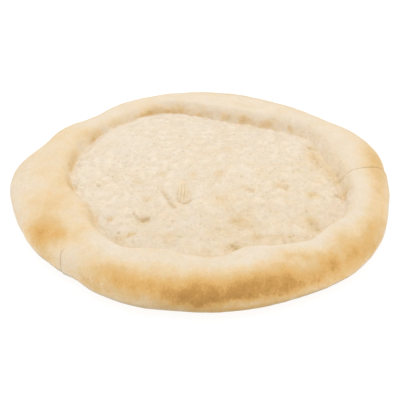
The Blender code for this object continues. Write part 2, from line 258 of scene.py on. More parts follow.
LEFT_SPOTS = [
    (118, 9, -14, 34, 0.08), (144, 3.5, -32, 16, 0.14), (149, 5, -16, 34, 0.12), (160, 10, 0, 40, 0.07),
    (178, 9, -62, 22, 0.06), (180, 4, 20, 10, 0.06), (180, 10, 8, 22, 0.1), (183, 2.4, -63, 12, 0.12),
    (184, 2.6, -86, 9, 0.14), (186, 7, -34, 28, 0.19), (188, 5, 62, 12, -0.05), (188, 4, 30, 14, -0.09),
    (196, 8, 8, 24, 0.1), (202, 9, -30, 30, 0.07), (204, 3, 53, 12, -0.07), (206, 5, -48, 9, -0.12),
    (206, 5, -87, 12, 0.08), (208, 3, -48, 20, 0.04), (212, 3, 78, 8, -0.08), (212, 4.2, 60, 18, 0.48),
    (212, 3, -16, 11, 0.06), (212, 4, -75, 10, -0.16), (214, 7, -52, 22, 0.08),
    (214, 2.5, -86, 10, 0.16), (215, 1.2, 48, 8, -0.12), (217.5, 2.6, 39, 9, 0.28),
    (219, 8, 92, 12, 0.14), (219, 3, 53, 8, 0.06), (220, 6, 2, 16, 0.06), (220, 4, -55, 8, 0.05),
    (221, 3, 22, 14, 0.1), (221, 5, -25, 30, 0.16),
]
RIGHT_SPOTS = [
    (352, 7, 34, 14, 0.08), (352, 4, -74, 14, 0.06), (356, 4, 26, 12, -0.08), (9, 3.5, 48, 10, 0.12),
    (10, 6, -50, 14, 0.05), (28, 4, 42, 8, -0.09),
]
# The same along the torn foot of the wall, round the back
TORN_SPOTS = [
    (42.4, 2.6, -80, 9, 0.14), (47.7, 0.9, -69, 7, 0.28), (57.8, 2.2, -66, 9, 0.22),
    (61, 1.3, -76, 7, 0.14), (66.2, 1.5, -65, 9, 0.2), (68, 4, -61, 11, -0.05),
    (69.7, 1.6, -62, 11, 0.3), (78.5, 2.2, -63, 9, 0.22), (84, 4, -66, 10, -0.04),
    (87, 1.8, -66, 9, 0.12), (90, 0.8, -46, 14, 0.12), (92, 1.2, -73, 7, 0.24), (96, 3, -78, 9, 0.08),
    (100, 1.9, -66, 11, 0.17), (104.5, 2.2, -76, 11, 0.34), (109, 3, -76, 10, 0.1),
    (112.6, 3.4, -68, 14, 0.34), (118, 2.6, -77, 10, 0.27), (127, 2, -69, 9, 0.14),
    (131, 4, -45, 18, 0.13), (142, 3.4, -66, 12, 0.26), (144, 0.9, -74, 6, 0.2),
    (160, 2.4, -66, 10, 0.16), (164, 6, -50, 20, 0.1), (165, 1.8, -68, 10, 0.22),
    (170, 1.6, -74, 9, 0.24),
]
# On the crumb and the foot of the wall: x, y, spread across, spread along, amount
CRUMB_SPOTS = [
    (*mm(-31, 8, 3, 3), 0.12), (*mm(-8, 7, 2.5, 4), 0.14), (*mm(12, 10, 3.4, 4.5), 0.13),
    (*mm(18, 18, 3, 3), 0.06), (*mm(31, -9, 3.4, 3.4), 0.07), (*mm(36, -13, 2.4, 2.8), 0.13),
    (*mm(57, -7, 5.5, 3.4), 0.1), (*mm(12, -27, 4.2, 5.4), 0.12), (*mm(-40, -26, 3, 3.8), 0.15),
    (*mm(-48, -3, 2.8, 3.4), 0.12), (*mm(17, 46, 6, 3), 0.06), (*mm(79, -20, 2.6, 3), 0.18),
    (*mm(75, -52, 3.6, 3.4), 0.22), (*mm(78, -59, 2.4, 2), 0.1), (*mm(21, -51, 2.2, 2.8), 0.16),
    (*mm(28, -54, 5, 6.5), 0.15), (*mm(36, -71, 3, 3.5), 0.2), (*mm(21, -81, 4.5, 3.5), 0.17),
    (*mm(-65, -50, 1.8, 2.6), 0.22), (*mm(-49, -67, 2, 1.7), 0.28), (*mm(-56, -70, 4, 3.5), 0.1),
    (*mm(-24, -70, 8, 4), 0.13), (*mm(11, -62, 7, 4), 0.08), (*mm(52, -72, 6, 3), 0.12),
    (*mm(-15, -15, 3.8, 8), 0.14), (*mm(-42, -49, 5, 3), 0.08), (*mm(85, 50, 3.5, 3), 0.18),
    (*mm(84, 36, 3.5, 4), 0.14), (*mm(91, 30, 8, 11), 0.13), (*mm(98, 10, 4.5, 5), 0.16),
    (*mm(101, 1, 3.5, 4), 0.16), (*mm(102, -17, 3.4, 4), 0.2), (*mm(-75, -58, 3, 5), 0.08),
    (*mm(-84, -38, 2.8, 3.6), 0.15), (*mm(-79, -47, 3, 4), 0.18), (*mm(-76, -52, 2.2, 3), 0.16),
    (*mm(-95, -10, 2.6, 3), 0.16),
]
STREAK_BROWNING = (0.30, 0.03)  # what a streak adds to the spots, as a share, and elsewhere
CRUMB_BROWNING = (0.062, 0.20, -0.40)  # at its middle, and for each metre right and back
UNDERSIDE_BROWNING = 0.34
UNDERSIDE_FROM = (100, 150)  # degrees round the roll over which it takes over
# the darkening of spots and pits is partly browned dough, partly painted shade
SPOT_PITTING = 1.1  # spots of the crumb look pitted by this much of their browning
SUNK_DEPTH = 0.6 * MM  # relief that looks wholly sunk
OUTSIDE_FROM = (55, 85)  # degrees round the roll
SEAM_DARK_FROM = mm(5, 10)  # heights over which a seam's dark line grows

# Painted shade, from 0 to 1, as the edge turns down toward the table
UPPER_SHADE, LOWER_SHADE = (66, 104), (94, 112)  # degrees round the roll over which each part grows
UPPER_SHARE = 0.10  # share of the shade that starts higher up
LOW_FRONT = (266, 17, 0.55)  # direction, spread, how much larger that share is there
# painted light from the table, which takes back part of the painted shade underneath
TABLE_PAINTED_LIGHT = (130, 179, 0.6)  # from where to where the table gives this share of light back
# painted shade that darkens the crumb toward the front
CRUMB_PAINTED_SHADE = (-65 * MM, 5 * MM, 0.085)  # at the front: from y to y, amount
# Places with painted shade, or painted light where the amount is below 0, given in the same way as the
# spots
PAINTED_SHADE_PLACES = [
    (265, 7, 92, 12, 0.22), (309, 10, 86, 15, -0.22), (340, 6, 60, 11, -0.20), (208, 5, 84, 10, -0.22),
    (112, 10, -56, 12, -0.24), (276, 6, -25, 10, 0.14), (85, 42, 54, 9, 0.30),
]


def turn(angle, centre):
    """Signed degrees from centre to angle, between -180 and 180."""
    return (angle - centre + 180.0) % 360.0 - 180.0


def bell(value):
    return np.exp(-0.5 * value ** 2)


def swell(angle, swells):
    return sum(amount * bell(turn(angle, middle) / spread) for middle, spread, amount in swells)


def wave(points, size, seed):
    """Smooth noise of about the given size at each point, between -1 and 1."""
    shift = Vector([seed * step for step in SEED_STEPS])
    return np.array([noise.noise(Vector(p) / size + shift) for p in points])


def level_points(x, y):
    return np.column_stack([x, y, np.zeros_like(x)])


def outline_radius(angle):
    return OUTLINE_RADIUS + swell(angle, OUTLINE_SWELLS)


def crest_radius(angle):
    return CREST_RADIUS + swell(angle, CREST_SWELLS)


def wall_run(angle):
    return WALL_RUN + swell(angle, WALL_SWELLS)


def crest_height(angle):
    return EDGE_HEIGHT + swell(angle, HEIGHT_SWELLS)


def larger(a, b):
    """The larger of two heights, rounded where they cross."""
    k = MEETING_SOFTNESS
    top = np.maximum(a, b)
    return top + k * np.log(np.exp((a - top) / k) + np.exp((b - top) / k))


def seam_line(radius, seam):
    """Direction of a seam's line at this distance from the middle."""
    return seam["start"] + seam["lean"] * (np.maximum(radius, seam["inner"]) - seam["inner"])


def seam_groove(radius, angle, seam):
    """How far into a seam each place is, from 0 to 1, and on its lap's side how many degrees."""
    off = turn(angle, seam_line(radius, seam)) * seam["lap_side"]
    reach = np.clip((radius - seam["inner"]) / SEAM_FADE + SEAM_START, 0, 1)
    return reach * bell(off / SEAM_HALF_WIDTH), reach, off


def seam_relief(radius, angle, seam):
    """The groove of a seam, and the lap of dough that stands proud on one side of it."""
    groove, reach, off = seam_groove(radius, angle, seam)
    lap = np.where(off > 0, LAP_RISE * np.exp(-np.maximum(off, 0) / LAP_LENGTH), 0.0)
    return reach * lap - seam["depth"] * groove


def edge_relief(points, radius, angle):
    size, height = EDGE_WAVE
    uneven = height * wave(points, size, SEED["edge"])
    return uneven + sum(seam_relief(radius, angle, seam) for seam in SEAMS)


def crumb_relief(x, y):
    (size, height), (broader, higher) = CRUMB_WAVE, BROAD_WAVE
    flat = level_points(x, y)
    z = height * wave(flat, size, SEED["crumb"])
    z = z + higher * height * wave(flat, broader * size, SEED["broad"])
    for cx, cy, across, along, depth in THUMB_DENTS:
        z = z - depth * np.exp(-(((x - cx) / across) ** 2 + ((y - cy) / along) ** 2))
    for x0, y0, x1, y1, half_width, height in FOLDS:
        z = z + height * np.exp(-(away_from(x, y, x0, y0, x1, y1) / half_width) ** 2)
    return z


def crumb_height(x, y, radius, angle):
    edge = crest_radius(angle) - CRUMB_EDGE_GAP - swell(angle, GAP_SWELLS)
    shoulder = CRUMB_SHOULDER + swell(angle, SHOULDER_SWELLS)
    top = CRUMB_HEIGHT + CRUMB_TILT * y
    past = np.maximum(radius - (edge - shoulder), 0) / shoulder
    return top - (top - FLOOR_HEIGHT) * past ** 2 + crumb_relief(x, y)


def roll_height(radius, angle):
    """Inner side of the rolled edge, from its crest down to its foot and on below the floor."""
    height = crest_height(angle)
    inward = np.maximum(crest_radius(angle) - radius, 0) / wall_run(angle)
    return height - (height - FLOOR_HEIGHT) * np.minimum(inward, 2.0) ** WALL_FULLNESS


def arc_point(top_radius, top_height, side_radius, side_height, share):
    """On the quarter arc from (top_radius, top_height) out to (side_radius, side_height)."""
    a = share * np.pi / 2
    return (top_radius + (side_radius - top_radius) * np.sin(a) ** EDGE_FULLNESS,
            side_height + (top_height - side_height) * np.cos(a) ** EDGE_FULLNESS)


def evenly(line, step):
    """The same line with its points an even step apart."""
    line = np.array(line, float)
    reach = np.concatenate([[0], np.cumsum(np.hypot(*np.diff(line, axis=0).T))])
    at = np.linspace(0, reach[-1], max(round(reach[-1] / step), 1) + 1)
    return np.column_stack([np.interp(at, reach, line[:, 0]), np.interp(at, reach, line[:, 1])])


def turned_profile():
    """Half section of the plain round, from the middle of the top over the edge to the middle of the
    underside: radius, height, how far apart points stand round it, and degrees round the roll."""
    foot, crest, contact = CREST_RADIUS - WALL_RUN, CREST_RADIUS, OUTLINE_RADIUS - CONTACT_INSET
    fine = np.linspace(0, 1, ARC_STEPS)
    outer = [arc_point(crest, EDGE_HEIGHT, OUTLINE_RADIUS, GIRTH_HEIGHT, t) for t in fine]
    lower = [arc_point(contact, 0, OUTLINE_RADIUS, GIRTH_HEIGHT, 1 - t) for t in fine]
    runs = [
        ([(0, CRUMB_HEIGHT), (foot, CRUMB_HEIGHT)], TOP_STEP, TOP_STEP, (FOOT, FOOT)),
        ([(foot, EDGE_HEIGHT), (crest, EDGE_HEIGHT)], WALL_STEP, TOP_STEP, (FOOT, CREST)),
        (outer, ROLL_STEP, ROLL_STEP, (CREST, GIRTH)),
        (lower, LOW_STEP, LOW_STEP, (GIRTH, TABLE)),
        ([(contact, 0), (0, 0)], UNDER_STEP, UNDER_STEP, (TABLE, TABLE)),
    ]
    section = []
    for line, step, around, (start, end) in runs:
        points = evenly(line, step)
        level = np.linspace(start, end, len(points))
        section += [(r, z, around, a) for (r, z), a in zip(points, level)][1 if section else 0:]
    return section


def gathered(angle):
    """Even column directions drawn together at the seams."""
    closer, spread = SEAM_CROWDING
    full = np.linspace(0, 360, TURN_STEPS + 1)
    rate = 1 + closer * sum(bell(turn(full, seam["middle"]) / spread) for seam in SEAMS)
    reach = np.concatenate([[0], np.cumsum((rate[1:] + rate[:-1]) / 2)])
    return np.interp(angle / 360 * reach[-1], reach, full)


def leaned(radius, angle):
    """Columns near a seam run along it."""
    for seam in SEAMS:
        aside = turn(seam_line(radius, seam), seam["middle"])
        angle = angle + aside * bell(turn(angle, seam["middle"]) / SEAM_REACH)
    return angle


def is_under(level):
    return level < GIRTH_HEIGHT - 1e-6


def spread_radius(nominal, level, angle):
    """Stretches the crumb, the wall and the roll of the plain round to this direction's sizes."""
    outline, crest = outline_radius(angle), crest_radius(angle)
    marks = [0, CREST_RADIUS - WALL_RUN, CREST_RADIUS, OUTLINE_RADIUS]
    goals = [np.zeros_like(angle), crest - wall_run(angle), crest, outline]
    above = goals[0]
    for low, high, near, far in zip(marks, marks[1:], goals, goals[1:]):
        share = np.clip((nominal - low) / (high - low), 0, 1)
        above = np.where(nominal > low, near + share * (far - near), above)
    contact = OUTLINE_RADIUS - CONTACT_INSET
    below = nominal + (outline - OUTLINE_RADIUS) * np.clip(nominal / contact, 0, 1)
    return np.where(is_under(level), below, above)


def relieved(points, nominal, radius, angle):
    """Adds the edge's waves and seams, square to the roll, and leaves the underside flat."""
    relief = edge_relief(points, radius, angle)
    relief = relief * np.clip((nominal - CREST_RADIUS + WALL_RUN) / SEAM_FADE, 0, 1)
    relief = relief * np.clip(points[:, 2] / SEAM_FADE, 0, 1)
    outward = np.clip((nominal - CREST_RADIUS) / (OUTLINE_RADIUS - CREST_RADIUS), 0, 1)
    outward = np.where(is_under(points[:, 2]), 1.0, outward) * np.pi / 2
    stretch = 1 + relief * np.sin(outward) / np.maximum(radius, MM)
    return np.column_stack([points[:, 0] * stretch, points[:, 1] * stretch,
                            points[:, 2] + relief * np.cos(outward)])


class Dough:
    """The surface as rings of points, with what is known about each point."""

    def __init__(self):
        flat, self.rings, roll = [], [], []
        for k, (radius, level, around, rolled) in enumerate(turned_profile()):
            count = max(round(2 * np.pi * radius / around), FEWEST) if radius > 0.3 * TOP_STEP else 1
            phase = 0.5 / count if k % 2 and count > 1 else 0.0
            a = 2 * np.pi * (phase + np.arange(count) / count)
            self.rings.append((len(roll), count, phase))
            flat += list(zip(radius * np.cos(a), radius * np.sin(a), [level] * count))
            roll += [rolled] * count
        flat = np.array(flat)
        self.roll = np.array(roll)
        self.nominal, self.level = np.hypot(flat[:, 0], flat[:, 1]), flat[:, 2]
        around = gathered(np.degrees(np.arctan2(flat[:, 1], flat[:, 0])) % 360.0)
        self.angle = leaned(self.nominal, around)
        self.radius = spread_radius(self.nominal, self.level, self.angle)
        self.x = self.radius * np.cos(np.radians(self.angle))
        self.y = self.radius * np.sin(np.radians(self.angle))
        self.points = self.shaped()
        self.faces = np.concatenate([stitched(*pair) for pair in zip(self.rings, self.rings[1:])])

    def shaped(self):
        """The points moved from the plain round to the uneven, risen shape."""
        share = (self.level - GIRTH_HEIGHT) / (EDGE_HEIGHT - GIRTH_HEIGHT)
        side = GIRTH_HEIGHT + share * (crest_height(self.angle) - GIRTH_HEIGHT)
        roll = roll_height(self.radius, self.angle)
        ragged = grain(level_points(self.x, self.y), RAGGED_LIP, SEED["lip"])
        crumb = crumb_height(self.x, self.y, self.radius + ragged, self.angle)
        inside = self.nominal < CREST_RADIUS - 1e-9
        self.above_roll = np.where(inside & ~is_under(self.level), crumb - roll, -1.0)
        z = np.where(inside, larger(roll, crumb), side)
        z = np.where(is_under(self.level), self.level, z)
        return relieved(np.column_stack([self.x, self.y, z]), self.nominal, self.radius, self.angle)

    def normals(self):
        a, b, c = (self.points[self.faces[:, i]] for i in range(3))
        across = np.cross(b - a, c - a)
        total = np.zeros_like(self.points)
        for i in range(3):
            np.add.at(total, self.faces[:, i], across)
        return total / np.maximum(np.linalg.norm(total, axis=1, keepdims=True), 1e-30)


def stitched(ring, after):
    """Triangles between a ring of points and the next, each given by its first point, its number
    of points and where round it starts."""
    (first, m, start), (second, n, after_start) = ring, after
    turns = np.concatenate([start + np.arange(1, m + 1) / m, after_start + np.arange(1, n + 1) / n])
    order = np.argsort(turns, kind="stable")
    along = (np.arange(m + n) < m)[order]
    i, j = np.cumsum(along), np.cumsum(~along)
    a, b = first + (i - along) % m, second + (j - ~along) % n
    c = np.where(along, first + i % m, second + j % n)
    return np.column_stack([a, b, c])[(a != c) & (b != c)]


def smooth_step(value, low, high):
    t = np.clip((value - low) / (high - low), 0, 1)
    return t * t * (3 - 2 * t)


def grain(points, layers, seed):
    return sum(height * wave(points, size, seed + k) for k, (size, height) in enumerate(layers))


def scattered_pores():
    """Where each pore of the crumb is: x, y, radius, stretch and lie."""
    draw = np.random.default_rng(PORE_SEED)
    pores = list(PORES)
    for x, y, spread, radius, count in PORE_CLUSTERS:
        for _ in range(count):
            pores.append((*draw.normal((x, y), spread), radius * draw.uniform(*CLUSTER_SIZES)))
    count, reach, radius = STRAY_PORES
    for _ in range(count):
        r, a = reach * np.sqrt(draw.uniform()), draw.uniform(0, 2 * np.pi)
        pores.append((r * np.cos(a), r * np.sin(a), radius * draw.uniform(*STRAY_SIZES) ** STRAY_SKEW))
    return [(*pore, draw.uniform(*PORE_WIDTHS), draw.uniform(0, np.pi)) for pore in pores]


def offset(x, y, steep, cx, cy):
    """From cx, cy to each place, measured along the slope of the surface."""
    u, v = x - cx, y - cy
    more = (u * x + v * y) / np.maximum(x * x + y * y, MM * MM) * (steep - 1)
    return u + more * x, v + more * y


def pores_at(x, y, steep):
    """How deep the pores are at each place, and how dark they look, from 0 to 1; the dark is partly browned
    dough, partly painted shade in the holes.
    """
    depth, dark = np.zeros_like(x), np.zeros_like(x)
    for px, py, radius, stretch, lie in scattered_pores():
        reach = PORE_REACH * radius
        near = np.flatnonzero((np.abs(x - px) < reach) & (np.abs(y - py) < reach))
        across, along = offset(x[near], y[near], steep[near], px, py)
        u = across * np.cos(lie) + along * np.sin(lie)
        v = along * np.cos(lie) - across * np.sin(lie)
        hole = np.exp(-((u / radius) ** 2 + (v / (radius * stretch)) ** 2))
        depth[near] = np.maximum(depth[near], PORE_DEPTH * radius * hole)
        dark[near] = np.maximum(dark[near], hole * np.clip(radius / DARK_PORE, FAINTEST, 1))
    return depth, dark


def creases_at(x, y):
    depth = np.zeros_like(x)
    early, late = CREASE_ENDS
    for cx, cy, radius, half_width, deep, start, end in CREASES:
        a = np.degrees(np.arctan2(y - cy, x - cx)) % 360
        off = np.hypot(x - cx, y - cy) - radius
        along = smooth_step(a, start - early, start + late) * smooth_step(-a, -end - early, -end + late)
        depth += deep * along * np.exp(-(off / half_width) ** 2)
    return depth


def away_from(x, y, x0, y0, x1, y1):
    """Distance from each place to the straight line between two points."""
    t = np.clip(((x - x0) * (x1 - x0) + (y - y0) * (y1 - y0)) / ((x1 - x0) ** 2 + (y1 - y0) ** 2), 0, 1)
    return np.hypot(x - x0 - t * (x1 - x0), y - y0 - t * (y1 - y0))


def strokes_at(x, y):
    """How deep the brown lines are at each place, and how dark, from 0 to 1."""
    size, wander = STROKE_WANDER
    flat = level_points(x, y)
    x, y = x + wander * wave(flat, size, SEED["stroke_x"]), y + wander * wave(flat, size, SEED["stroke_y"])
    depth, dark = np.zeros_like(x), np.zeros_like(x)
    for x0, y0, x1, y1, half_width, deep, darkness in STROKES:
        line = np.exp(-(away_from(x, y, x0, y0, x1, y1) / half_width) ** 2)
        depth, dark = np.maximum(depth, deep * line), np.maximum(dark, darkness * line)
    return depth, dark


def less_in_front(y, share, near, far):
    """This share up to the near place, growing to 1 at the far one."""
    return share + (1 - share) * smooth_step(y, near, far)


def crumb_skin(x, y):
    """Height of the crumb's fine relief: puffs with creases between them, wrinkles and grain."""
    size, reach = DRIFT
    flat = level_points(x, y)
    flat = flat + reach * level_points(wave(flat, size, SEED["drift_x"]), wave(flat, size, SEED["drift_y"]))
    drawn = flat * np.array([1, DRAWN_OUT[0], 0]) + np.outer(np.maximum(y, 0) ** 2, [0, DRAWN_OUT[1], 0])
    height = grain(drawn, CRUMB_GRAIN, SEED["crumb_grain"])
    for k, (size, high) in enumerate(CRUMB_PUFFS):
        puffs = 2 * np.abs(wave(drawn, size, SEED["puffs"] + k)) - PUFF_MEAN
        height += high * less_in_front(y, *PUFFED_FRONT) * puffs
    across, along, high = WRINKLES
    radius, turns = np.hypot(flat[:, 0], flat[:, 1]), WRINKLED_FROM[1] / along
    round_it = np.column_stack([flat[:, :2] * turns / np.maximum(radius, MM)[:, None], radius / across])
    ridges = RIDGE_MEAN - 2 * np.abs(wave(round_it, 1.0, SEED["wrinkles"]))
    grown = less_in_front(y, *WRINKLED_FRONT) * smooth_step(np.hypot(x, y), *WRINKLED_FROM)
    height += high * grown * ridges
    cx, cy, radius, lost = SMOOTH_PLACE
    return height * (1 - lost * np.exp(-(np.hypot(x - cx, y - cy) / radius) ** 2))


def torn_streaks(dough):
    """Streaks up the torn wall, between -1 and 1."""
    across, up, _ = TORN_STREAKS
    a = np.radians(dough.angle)
    at = np.column_stack([np.cos(a) * CREST_RADIUS / across, np.sin(a) * CREST_RADIUS / across,
                          dough.points[:, 2] / up])
    strong = np.clip(STREAK_CONTRAST * wave(at, 1.0, SEED["streaks"]), -1, 1)
    return strong * swell(dough.angle, [STREAKED])


def texture(dough):
    """Adds the fine relief square to the surface, and notes what each point's look depends on."""
    x, y = dough.x, dough.y
    softer, change = MERGE_SPREAD
    spread = softer - change * np.sin(np.radians(dough.angle))
    crumb = smooth_step(dough.above_roll, CRUMB_MERGE[0] * spread, CRUMB_MERGE[1] * spread)
    top, on_roll = dough.roll < GIRTH - 2, dough.roll > FOOT + 1
    torn = on_roll * smooth_step(dough.roll, *TORN_FROM) * (1 - crumb)
    skin = 1 - np.maximum(crumb, torn)
    dough.steep = 1 / np.clip(dough.normals()[:, 2], STEEPEST, 1)
    pore_depth, pore_brown_and_shade = pores_at(x, y, dough.steep)
    crease = creases_at(x, y)
    stroke_depth, stroke_dark = strokes_at(x, y)
    streaks = torn_streaks(dough)
    uneven = crumb * crumb_skin(x, y) + skin * grain(dough.points, SKIN_GRAIN, SEED["skin"])
    uneven += torn * (grain(dough.points, TORN_GRAIN, SEED["torn"]) + TORN_STREAKS[2] * streaks)
    rough = uneven - crumb * (crease + stroke_depth) - np.maximum(crumb, torn) * top * pore_depth
    rough *= smooth_step(dough.points[:, 2], 0, LOW_FADE)
    dough.points = dough.points + dough.normals() * rough[:, None]
    grooves = [seam["dark"] * seam_groove(dough.radius, dough.angle, seam)[0] for seam in SEAMS]
    above = smooth_step(dough.points[:, 2], *SEAM_DARK_FROM)
    cx, cy, across, along = STRIPED_DENT
    browned, spotted = browning(dough, crumb, torn * streaks)
    # pits and spots: partly browned dough, partly painted shade
    pits_brown_and_shade = np.maximum(pore_brown_and_shade, SPOT_PITTING * spotted) * np.maximum(crumb, torn) * top
    start, end, given_back = TABLE_PAINTED_LIGHT
    dough.notes = {
        "crumb": np.maximum(crumb, torn),
        "browned": np.clip(browned + STROKE_BROWNING * crumb * stroke_dark, 0, 1),
        "pitted": np.clip(pits_brown_and_shade + crumb * stroke_dark, 0, 1),
        "striped": np.exp(-(((x - cx) / across) ** 2 + ((y - cy) / along) ** 2) ** 2) * top,
        "sunk": np.clip(-uneven / SUNK_DEPTH, -1, 1),
        # painted shade on the edge, the crumb's front and the listed places, less where the table's light
        # is painted back
        "low": painted_shade_amount(dough) * (1 - given_back * smooth_step(dough.roll, start, end)),
        "outside": smooth_step(dough.roll, *OUTSIDE_FROM),
        "seamed": np.clip(sum(grooves) * above * on_roll, 0, 1),
    }


def painted_shade_amount(dough):
    """Painted shade, from 0 to 1, as each point turns away from the light toward the table, with more at
    the crumb's front and at the listed places, and painted light where these go below 0.
    """
    upper = UPPER_SHARE + swell(dough.angle, [LOW_FRONT])
    low = upper * smooth_step(dough.roll, *UPPER_SHADE)
    low = low + (1 - upper) * smooth_step(dough.roll, *LOWER_SHADE)
    near, far, shade = CRUMB_PAINTED_SHADE
    low = low + shade * (1 - smooth_step(dough.y, near, far)) * (dough.roll < FOOT + 10)
    return low + sum(spot_round(dough.angle, dough.roll, *place) for place in PAINTED_SHADE_PLACES)


def spot_round(angle, roll, direction, width, rolled, height, amount):
    """A soft spot on the rolled edge: its amount at its middle, less around it."""
    return amount * np.exp(-0.5 * ((turn(angle, direction) / width) ** 2 + ((roll - rolled) / height) ** 2))


def browning(dough, crumb, streaks):
    """How browned each point is, and how much of it is spots."""
    roll, angle = dough.roll, dough.angle
    for k, (size, up, around) in enumerate(BROWNED_RAGGED):
        roll = roll + up * wave(dough.points, size, SEED["up"] + k)
        angle = angle + around * wave(dough.points, size, SEED["around"] + k)
    middle, rising, falling = GOLD_BAND
    past = roll - middle - swell(angle, BAND_SHIFTS)
    band = np.exp(-0.5 * np.abs(past / np.where(past < 0, rising, falling)) ** BAND_FLATNESS)
    edge = PALE + band * (GOLD_REST + swell(angle, GOLD_SWELLS))
    places = FRONT_SPOTS + LEFT_SPOTS + RIGHT_SPOTS + TORN_SPOTS
    spots = sum(spot_round(angle, roll, *place) for place in places)
    spots = spots * (1 + STREAK_BROWNING[0] * streaks)
    edge = edge + spots + STREAK_BROWNING[1] * streaks
    low = smooth_step(dough.roll, *UNDERSIDE_FROM)
    edge = edge * (1 - low) + UNDERSIDE_BROWNING * low
    inner = np.zeros_like(edge)
    for x, y, across, along, amount in CRUMB_SPOTS:
        u, v = offset(dough.x, dough.y, dough.steep, x, y)
        inner = inner + amount * np.exp(-0.5 * ((u / across) ** 2 + (v / along) ** 2))
    inner = inner * (dough.roll < CREST)
    spotted = np.maximum(spots * (1 - crumb), 0) + inner
    level, rightward, backward = CRUMB_BROWNING
    plain = level + rightward * dough.x + backward * dough.y
    return edge * (1 - crumb) + plain * crumb + inner, spotted


def dough_mesh(dough):
    mesh = bpy.data.meshes.new("pizza_base")
    lifted = dough.points - np.array([*MIDDLE, 0.0])
    low, high = lifted.min(0), lifted.max(0)
    plain_low, plain_high = np.array(PLAIN_LOW), np.array(PLAIN_HIGH)
    lifted = plain_low + (lifted - low) / (high - low) * (plain_high - plain_low)
    mesh.from_pydata(lifted.tolist(), [], dough.faces.tolist())
    mesh.polygons.foreach_set("use_smooth", [True] * len(mesh.polygons))
    for name, values in dough.notes.items():
        mesh.attributes.new(name, "FLOAT", "POINT").data.foreach_set("value", values.astype(np.float32))
    lay_flat(mesh, dough)
    return mesh


def lay_flat(mesh, dough):
    """Lays the top and side out as one round on the texture, and the underside as a smaller one."""
    section = np.array([(radius, height) for radius, height, _, _ in turned_profile()])
    length = np.concatenate([[0], np.cumsum(np.linalg.norm(np.diff(section, axis=0), axis=1))])
    ring = np.repeat(np.arange(len(dough.rings)), [count for _, count, _ in dough.rings])
    under = dough.roll >= TABLE
    reach = np.where(under, 1, length[ring] / length[ring[np.argmax(under)]])
    a = np.radians(dough.angle)
    (middle, radius), (under_middle, under_radius) = TOP_MAP, UNDER_MAP
    top_uv = middle + radius * reach[:, None] * np.column_stack([np.cos(a), np.sin(a)])
    size = UNDER_MARGIN * (OUTLINE_RADIUS - CONTACT_INSET)
    under_uv = under_middle + under_radius * np.column_stack([-dough.x, dough.y]) / size
    faces = dough.faces
    uv = np.where(under[faces].all(1)[:, None, None], under_uv[faces], top_uv[faces])
    mesh.uv_layers.new(name="OFBake").data.foreach_set("uv", uv.astype(np.float32).ravel())


def fill(node, inputs):
    """Sets a node's inputs to values, or links them to other outputs."""
    for key, value in dict(inputs).items():
        if isinstance(value, bpy.types.NodeSocket):
            node.id_data.links.new(value, node.inputs[key])
        else:
            node.inputs[key].default_value = value


class Shading:
    """Short ways to add nodes to a material."""

    def __init__(self, name):
        self.material = bpy.data.materials.new(name)
        self.material.use_nodes = True
        self.tree = self.material.node_tree
        self.shader = self.tree.nodes["Principled BSDF"]
        self.drawn = None

    def add(self, kind, inputs=(), **settings):
        node = self.tree.nodes.new("ShaderNode" + kind)
        for key, value in settings.items():
            setattr(node, key, value)
        fill(node, inputs)
        return node

    def place(self):
        """Where a point is, with the grain drawn out from front to back."""
        if not self.drawn:
            at = self.add("TexCoord").outputs["Object"]
            x, y, z = self.add("SeparateXYZ", {"Vector": at}).outputs
            back = self.math("MAXIMUM", y, 0.0)
            more = self.times(back, self.times(back, DRAWN_OUT[1]))
            y = self.plus(more, y, DRAWN_OUT[0])
            self.drawn = self.add("CombineXYZ", {"X": x, "Y": y, "Z": z}).outputs[0]
        return self.drawn

    def noise(self, size, detail, rough=0.55):
        return self.add("TexNoise", {"Vector": self.place(), "Scale": 1 / size, "Detail": detail,
                                     "Roughness": rough}).outputs["Fac"]

    def swing(self, size, detail, half=1.0):
        """Noise that goes from minus to plus this half."""
        return self.between(self.noise(size, detail), *NOISE_RANGE, -half, half)

    def specks(self, size, radius, share):
        """Round specks in some of the cells of the given size, from 0 to 1."""
        cells = self.add("TexVoronoi", {"Vector": self.place(), "Scale": 1 / size})
        far = radius / size
        near = self.between(cells.outputs["Distance"], SPECK_CORE * far, far, 1, 0)
        pick = self.add("SeparateColor", {"Color": cells.outputs["Color"]}).outputs[0]
        return self.times(near, self.between(pick, share - SPECKS_FAINT, share, 1, 0))

    def stripes(self, spacing, size, bend):
        """Lines along Y, bent by noise of this size, from -1 to 1."""
        across = self.add("SeparateXYZ", {"Vector": self.place()}).outputs[0]
        bent = self.plus(across, self.noise(size, 1), bend)
        return self.math("COSINE", self.times(bent, 2 * np.pi / spacing))

    def math(self, operation, a, b=0.0, c=0.0):
        return self.add("Math", enumerate((a, b, c)), operation=operation).outputs[0]

    def times(self, a, b):
        return self.math("MULTIPLY", a, b)

    def plus(self, whole, part, share=1.0):
        """The whole and this share of the part."""
        return self.math("MULTIPLY_ADD", part, share, whole)

    def between(self, value, low, high, to_low=0.0, to_high=1.0):
        return self.add("MapRange", enumerate((value, low, high, to_low, to_high))).outputs[0]

    def ramp(self, value, stops):
        made = self.add("ValToRGB", {"Fac": value})
        ramp = made.color_ramp
        while len(ramp.elements) < len(stops):
            ramp.elements.new(0.5)
        for stop, (at, colour) in zip(ramp.elements, stops):
            stop.position, stop.color = at, (*colour, 1)
        return made.outputs["Color"]

    def grey(self, value):
        return self.add("CombineColor", enumerate((value, value, value))).outputs[0]

    def mix(self, share, a, b, way="MIX"):
        return self.add("Mix", {0: share, 6: a, 7: b}, data_type="RGBA", blend_type=way).outputs[2]


